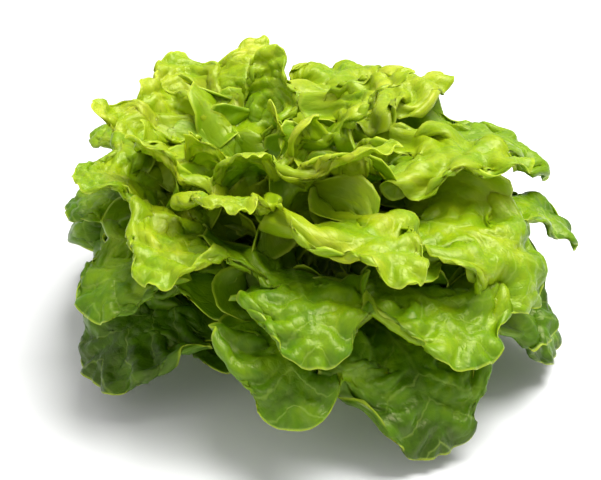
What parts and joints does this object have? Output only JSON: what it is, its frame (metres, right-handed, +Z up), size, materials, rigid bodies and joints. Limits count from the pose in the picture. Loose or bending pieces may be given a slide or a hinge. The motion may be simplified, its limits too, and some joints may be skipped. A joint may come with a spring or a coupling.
{
  "type": "head of lettuce",
  "caption": "Open head of green oak-leaf lettuce: lobed, wavy leaves in a spiral on a short stem with a flat cut base, on which the head stands.",
  "frame": {"origin": "Middle of the stem's flat cut face, on which the head stands.", "axes": "Z points up along the stem, Y towards the back and X to the right seen from the front. The front is -Y."},
  "size_m": [0.3035, 0.3142, 0.1612],
  "materials": {
    "outer_leaf": "satin",
    "middle_leaf": "satin",
    "heart_leaf": "satin",
    "stem": "matt"
  },
  "bodies": {
    "root": {"stem": "stem", "outer_leaf_01": "outer_leaf", "outer_leaf_02": "outer_leaf", "outer_leaf_03": "outer_leaf", "outer_leaf_04": "outer_leaf", "outer_leaf_05": "outer_leaf", "outer_leaf_06": "outer_leaf", "outer_leaf_07": "outer_leaf", "outer_leaf_08": "outer_leaf", "outer_leaf_09": "outer_leaf", "outer_leaf_10": "outer_leaf", "outer_leaf_11": "outer_leaf", "outer_leaf_12": "outer_leaf", "outer_leaf_13": "outer_leaf", "outer_leaf_14": "outer_leaf", "outer_leaf_15": "outer_leaf", "outer_leaf_16": "outer_leaf", "outer_leaf_17": "outer_leaf", "outer_leaf_18": "outer_leaf", "middle_leaf_19": "middle_leaf", "middle_leaf_20": "middle_leaf", "middle_leaf_21": "middle_leaf", "middle_leaf_22": "middle_leaf", "middle_leaf_23": "middle_leaf", "middle_leaf_24": "middle_leaf", "middle_leaf_25": "middle_leaf", "middle_leaf_26": "middle_leaf", "middle_leaf_27": "middle_leaf", "middle_leaf_28": "middle_leaf", "middle_leaf_29": "middle_leaf", "middle_leaf_30": "middle_leaf", "middle_leaf_31": "middle_leaf", "middle_leaf_32": "middle_leaf", "middle_leaf_33": "middle_leaf", "middle_leaf_34": "middle_leaf", "middle_leaf_35": "middle_leaf", "middle_leaf_36": "middle_leaf", "middle_leaf_37": "middle_leaf", "heart_leaf_38": "heart_leaf", "heart_leaf_39": "heart_leaf", "heart_leaf_40": "heart_leaf", "heart_leaf_41": "heart_leaf", "heart_leaf_42": "heart_leaf", "heart_leaf_43": "heart_leaf", "heart_leaf_44": "heart_leaf", "heart_leaf_45": "heart_leaf", "heart_leaf_46": "heart_leaf", "heart_leaf_47": "heart_leaf", "heart_leaf_48": "heart_leaf", "heart_leaf_49": "heart_leaf", "heart_leaf_50": "heart_leaf", "heart_leaf_51": "heart_leaf", "heart_leaf_52": "heart_leaf"}
  },
  "joints": []
}
